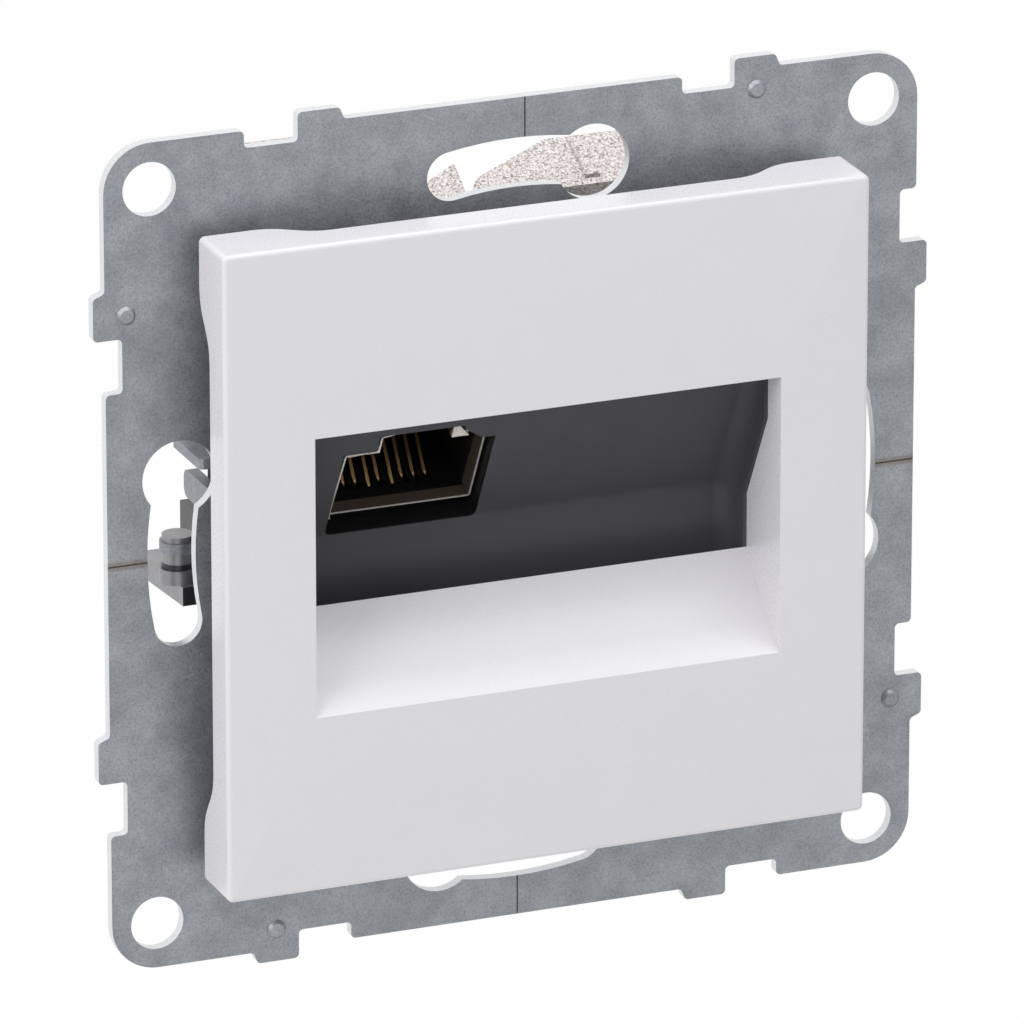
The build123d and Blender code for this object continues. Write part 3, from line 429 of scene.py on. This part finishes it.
def makeInsert(size):
    # dark moulding, made paler below the bend by painted light, with painted shade in black on the walls round
    # the port
    material = makeMoulded(
        "insertPlastic", size["colour"], roughness=0.30, pores=7000.0, depth=0.000005, strength=0.02, ior=1.22,
    )
    tree = material.node_tree
    shader = tree.nodes["Principled BSDF"]
    coords = tree.nodes.new("ShaderNodeTexCoord").outputs["Object"]
    share = spread(tree, splitAxes(tree, coords)["Z"], fromLow=size["bend"][0], fromHigh=size["bend"][1])
    colour = shader.inputs["Base Color"].links[0].from_socket
    # painted light: paler below the bend
    colour = paint(tree, share, colour, size["lower"])
    # painted shade: black on the walls round the port
    paintedShadePocket = maths(tree, "GREATER_THAN", distanceAlong(tree, coords, portIn, portCentre), size["panelDepth"])
    for direction, reach in zip((portRight, portUp), size["paintedShadeReach"]):
        offset = maths(tree, "ABSOLUTE", distanceAlong(tree, coords, direction, portCentre))
        paintedShadePocket = maths(tree, "MULTIPLY", paintedShadePocket, maths(tree, "LESS_THAN", offset, reach))
    tree.links.new(paint(tree, paintedShadePocket, colour, size["paintedShadePocket"]), shader.inputs["Base Color"])
    return material


carrier = {
    "body": (0.045, 0.045, 0.048),
    "arm": (0.36, 0.36, 0.37),
    "armMetallic": 0.6,
    "armFrom": 0.0246,  # distance from the middle at which the arms start
    # painted shade on the arms' front ends
    "paintedShadeArmEnd": (0.030, 0.030, 0.032),
    "paintedShadeDepth": 0.00305,  # the arms' front ends, in painted shade, reach back to here
    # painted shade at the studs' necks
    "paintedGrooveShade": (0.06, 0.06, 0.065),
    "paintedGrooveHeights": (-0.0031, -0.0026),  # painted shade: a dark ring at the stud's neck, between its foot and its head
}


def makeCarrier(size):
    # dark moulded frame whose side arms and studs are satin metal, with painted shade on their front ends and at
    # the studs' necks
    material, tree, shader, coords = newMaterial("carrierPlastic", {"IOR": 1.5})
    axes = splitAxes(tree, coords)
    outside = maths(tree, "GREATER_THAN", maths(tree, "ABSOLUTE", axes["X"]), size["armFrom"])
    arm = maths(tree, "MULTIPLY", outside, maths(tree, "GREATER_THAN", axes["Y"], size["paintedShadeDepth"]))
    # painted shade: the arms' front ends
    end = maths(tree, "MULTIPLY", outside, maths(tree, "LESS_THAN", axes["Y"], size["paintedShadeDepth"]))
    # painted shade: the neck under the stud's head
    paintedGrooveShade = maths(tree, "MULTIPLY", arm, between(tree, axes["Z"], *size["paintedGrooveHeights"]))
    fine = grain(tree, coords, 3000.0)
    slow = grain(tree, coords, 500.0, detail=2.0)
    colour = drift(tree, slow, size["body"], 0.85, 0.3, 0.7)
    secondTone = drift(tree, slow, size["arm"], 0.8, 0.3, 0.7)
    colour = blendColour(tree, arm, colour, secondTone)
    colour = paint(tree, paintedGrooveShade, colour, size["paintedGrooveShade"])
    colour = paint(tree, end, colour, size["paintedShadeArmEnd"])
    tree.links.new(colour, shader.inputs["Base Color"])
    tree.links.new(maths(tree, "MULTIPLY", arm, size["armMetallic"]), shader.inputs["Metallic"])
    tree.links.new(maths(tree, "MULTIPLY_ADD", fine, 0.12, 0.3), shader.inputs["Roughness"])
    tree.links.new(relief(tree, fine, 0.2, 0.00002), shader.inputs["Normal"])
    return material


finishes = {
    "mounting_yoke": makeZincSheet(zincSheet),
    "cover_plate": makeCoverPlastic(coverPlastic),
    "jack_insert": makeInsert(insertPlastic),
    "jack_shield": makeShield(nickelShield),
    "jack_core": makeMoulded("corePlastic", (0.006, 0.006, 0.006), roughness=0.45),
    "contact_board": makeMoulded("boardLaminate", (0.02, 0.09, 0.045), roughness=0.35),
    "idc_block": makeMoulded("blockPlastic", (0.55, 0.55, 0.52), roughness=0.45),
    "wire_cap": makeMoulded("capPlastic", (0.62, 0.62, 0.60), roughness=0.42),
    "hinge_pin": makeMetal("pinSteel", (0.45, 0.45, 0.46), roughness=0.3),
    "carrier_frame": makeCarrier(carrier),
    "connector_housing": makeDieCast(dieCastZinc),
}
finishes["rear_cover"] = finishes["connector_housing"]
stampedMetal = {"grains": 3000.0, "depth": 0.000004, "strength": 0.1, "dimmed": 0.92}
contactMetal = makeMetal("contactGold", (0.60, 0.39, 0.17), roughness=0.32, **stampedMetal)
bladeMetal = makeMetal("bladeTin", (0.62, 0.60, 0.55), roughness=0.3, **stampedMetal)
for number in range(1, 9):
    finishes["contact_%d" % number] = contactMetal
    finishes["idc_blade_%d" % number] = bladeMetal
print("materials made")

surface = {"weld": 0.000002, "splitAngle": 28.0}


def dressMesh(holder, material, size):
    # joins the loose triangles and keeps only the real corners sharp
    holder.data.materials.clear()
    holder.data.materials.append(material)
    holder.data.polygons.foreach_set("use_smooth", [True] * len(holder.data.polygons))
    weld = holder.modifiers.new("weld", "WELD")
    weld.merge_threshold = size["weld"]
    split = holder.modifiers.new("corners", "EDGE_SPLIT")
    split.split_angle = math.radians(size["splitAngle"])
    split.use_edge_sharp = False


for name, holder in nodes.items():
    dressMesh(holder, finishes[name], surface)
print("nodes dressed")


# Pieces that take a node's place: its own mesh with the form that the photograph shows
def copyNode(name, label):
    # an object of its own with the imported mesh, its loose triangles joined
    shape = bmesh.new()
    shape.from_mesh(nodes[name].data)
    bmesh.ops.remove_doubles(shape, verts=shape.verts, dist=surface["weld"])
    mesh = bpy.data.meshes.new(label)
    shape.to_mesh(mesh)
    shape.free()
    piece = bpy.data.objects.new(label, mesh)
    scene.collection.objects.link(piece)
    return piece


def readPoints(mesh):
    points = np.empty(len(mesh.vertices) * 3)
    mesh.vertices.foreach_get("co", points)
    return points.reshape(-1, 3)


def writePoints(mesh, points):
    mesh.vertices.foreach_set("co", points.ravel())
    mesh.update()


def ridePiece(piece, node, body):
    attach(piece, body)
    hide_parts(node)
    dressMesh(piece, finishes[node], surface)


def cutAway(piece, outline, across, upward, through, span):
    # takes a prism off the piece: point = pin + outline[0] * across + outline[1] * upward + span * through
    flat = np.array(outline)
    axes = [np.array(direction) for direction in (across, upward, through)]
    ring = np.array(hinge["pos_m"]) + flat[:, :1] * axes[0] + flat[:, 1:] * axes[1]
    points = np.concatenate([ring + span[0] * axes[2], ring + span[1] * axes[2]])
    count = len(flat)
    thisOne = np.arange(count)
    nextOne = np.roll(thisOne, -1)
    faces = np.stack([thisOne, nextOne, nextOne + count, thisOne + count], axis=1).tolist()
    faces += [list(range(count))[::-1], list(range(count, 2 * count))]
    mesh = bpy.data.meshes.new("cutter")
    mesh.from_pydata(points.tolist(), [], faces)
    shape = bmesh.new()
    shape.from_mesh(mesh)
    bmesh.ops.recalc_face_normals(shape, faces=shape.faces)
    shape.to_mesh(mesh)
    shape.free()
    cutter = bpy.data.objects.new("cutter", mesh)
    scene.collection.objects.link(cutter)
    cut = piece.modifiers.new("cut", "BOOLEAN")
    cut.object, cut.operation, cut.solver = cutter, "DIFFERENCE", "EXACT"
    whole = bpy.data.meshes.new_from_object(piece.evaluated_get(bpy.context.evaluated_depsgraph_get()))
    piece.modifiers.clear()
    piece.data = whole
    bpy.data.objects.remove(cutter)


# Castings, as they show round the upper keyhole.
# All distances are from the hinge pin's middle: right across the jack, in along it, and up along the pin.
castings = {
    # in and up: the trough's rear top corner, cut off at a slope
    "troughCorner": ((0.0066, 0.0082), (0.0176, -0.0028), (0.0176, 0.0082)),
    "troughSpan": (-0.0250, 0.0020),  # right
    "trayStretch": (0.0018, 0.0041, 0.0038),  # right, from and to, and how much further the tray reaches
    # right and in: the notch between the knuckle and the tray's sloping corner
    "trayNotch": (
        (0.00155, -0.0012), (0.00187, -0.0012), (0.00198, -0.0004), (0.00215, 0.0003), (0.00240, 0.0009),
        (0.0041, 0.0030), (0.0064, 0.0041), (0.0064, 0.0060), (0.00184, 0.0060),
    ),
    "topWall": (0.0058, 0.0080),  # up
}


def stretchTray(piece, start, end, reach):
    # the tray moves out from the pin: right += reach * (right - start) / (end - start), held between 0 and reach
    points = readPoints(piece.data)
    right = points[:, 0] - hinge["pos_m"][0]
    points[:, 0] += reach * np.clip((right - start) / (end - start), 0.0, 1.0)
    writePoints(piece.data, points)


def addCastings(size):
    housing = copyNode("connector_housing", "housingCasting")
    cutAway(housing, size["troughCorner"], portIn, portUp, portRight, size["troughSpan"])
    rear = copyNode("rear_cover", "rearCoverCasting")
    cutAway(rear, size["trayNotch"], portRight, portIn, portUp, size["topWall"])
    stretchTray(rear, *size["trayStretch"])
    ridePiece(housing, "connector_housing", "base")
    ridePiece(rear, "rear_cover", "rear_cover")


addCastings(castings)
print("castings made")

# The port: the shield's left side comes forward to the panel, its edge is thin, and the springs are slim
portFront = {
    "sideFrom": -0.0059,  # right: the sheet is divided here, and left of it the rim comes forward
    "sideMargin": 0.0001,
    "shoulderFrom": (-0.0031, 0.0036),  # right and up: so does the rim left of and above this
    "rimDepth": 0.00005,  # a point this close to the mouth belongs to the rim
    "reach": 0.00105,
    "lowReach": 0.0005,  # below the port's middle
    "inner": (0.00605, 0.0032, 0.00377, 0.00548),  # the sheet's inside: side, slot's side, floor, slot's top
    "sidePlay": 0.00003,  # how far from those a point may lie
    "levelPlay": 0.00002,
    "flare": 0.00016,  # how much thinner the sheet is at the rim
    "springWidth": 0.70,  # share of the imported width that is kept
}


def divide(piece, place, direction):
    # new edges where the plane through place crosses the piece
    shape = bmesh.new()
    shape.from_mesh(piece.data)
    everything = shape.verts[:] + shape.edges[:] + shape.faces[:]
    bmesh.ops.bisect_plane(shape, geom=everything, plane_co=place, plane_no=direction)
    bmesh.ops.triangulate(shape, faces=shape.faces)
    shape.to_mesh(piece.data)
    shape.free()


def addShieldRim(size):
    shield = copyNode("jack_shield", "shieldRim")
    start = Vector(portCentre)
    divide(shield, start + size["sideFrom"] * portRight, portRight)
    points = readPoints(shield.data)
    offset = points - np.array(start)
    right, depth, height = (offset @ np.array(direction) for direction in (portRight, portIn, portUp))
    # rim points left of sideFrom, or left of and above the shoulder: point -= reach * portIn
    leftSide = right < size["sideFrom"] - size["sideMargin"]
    shoulder = (right < size["shoulderFrom"][0]) & (height > size["shoulderFrom"][1])
    forward = (depth < size["rimDepth"]) & (leftSide | shoulder)
    reach = forward * np.where(height > 0.0, size["reach"], size["lowReach"])
    # rim points on the sheet's inside: point += flare, away from the port's middle
    side, slotSide, level, slotTop = size["inner"]
    fromMiddle = np.abs(right)
    inside = (np.abs(depth) < size["rimDepth"]) & (height < slotTop + size["levelPlay"])
    inside &= (np.abs(height) < level + size["levelPlay"]) | (fromMiddle < slotSide + size["levelPlay"])
    onSide = np.minimum(np.abs(fromMiddle - side), np.abs(fromMiddle - slotSide)) < size["sidePlay"]
    points += (size["flare"] * (inside & onSide) * np.sign(right))[:, None] * np.array(portRight)
    points += (size["flare"] * inside * np.sign(height))[:, None] * np.array(portUp)
    points -= reach[:, None] * np.array(portIn)
    writePoints(shield.data, points)
    ridePiece(shield, "jack_shield", "base")


def addSprings(size):
    # each spring: right = middle + springWidth * (right - middle)
    for number in range(1, 9):
        node = "contact_%d" % number
        spring = copyNode(node, "spring%d" % number)
        points = readPoints(spring.data)
        middle = 0.5 * (points[:, 0].min() + points[:, 0].max())
        points[:, 0] = middle + size["springWidth"] * (points[:, 0] - middle)
        writePoints(spring.data, points)
        ridePiece(spring, node, "base")


addShieldRim(portFront)
addSprings(portFront)
print("port front made")

# The sheet's ears and eyelets, with the carrier's arms and studs, stand closer in
drawnIn = {
    "mounting_yoke": {"label": "yokeSheet", "from": 0.0255, "to": 0.0265, "slot": "zinc_steel"},
    "carrier_frame": {"label": "carrierArms", "from": 0.0246, "to": 0.0264, "slot": "dark_carrier"},
}
drawnReach = {"reach": 0.0008, "outer": 0.0300, "behind": 0.00095, "halfHeight": 0.0080}


def drawIn(pieces, size):
    # behind the sheet: x -= sign(x) * reach * (|x| - from) / (to - from), held between 0 and reach
    for node, each in pieces.items():
        piece = copyNode(node, each["label"])
        points = readPoints(piece.data)
        outward = np.abs(points[:, 0])
        touched = (outward < size["outer"]) & (points[:, 1] > size["behind"])
        touched &= np.abs(points[:, 2]) < size["halfHeight"]
        share = np.clip((outward - each["from"]) / (each["to"] - each["from"]), 0.0, 1.0)
        points[:, 0] -= np.sign(points[:, 0]) * touched * share * size["reach"]
        writePoints(piece.data, points)
        ridePiece(piece, node, "base")


drawIn(drawnIn, drawnReach)
print("arms drawn in")
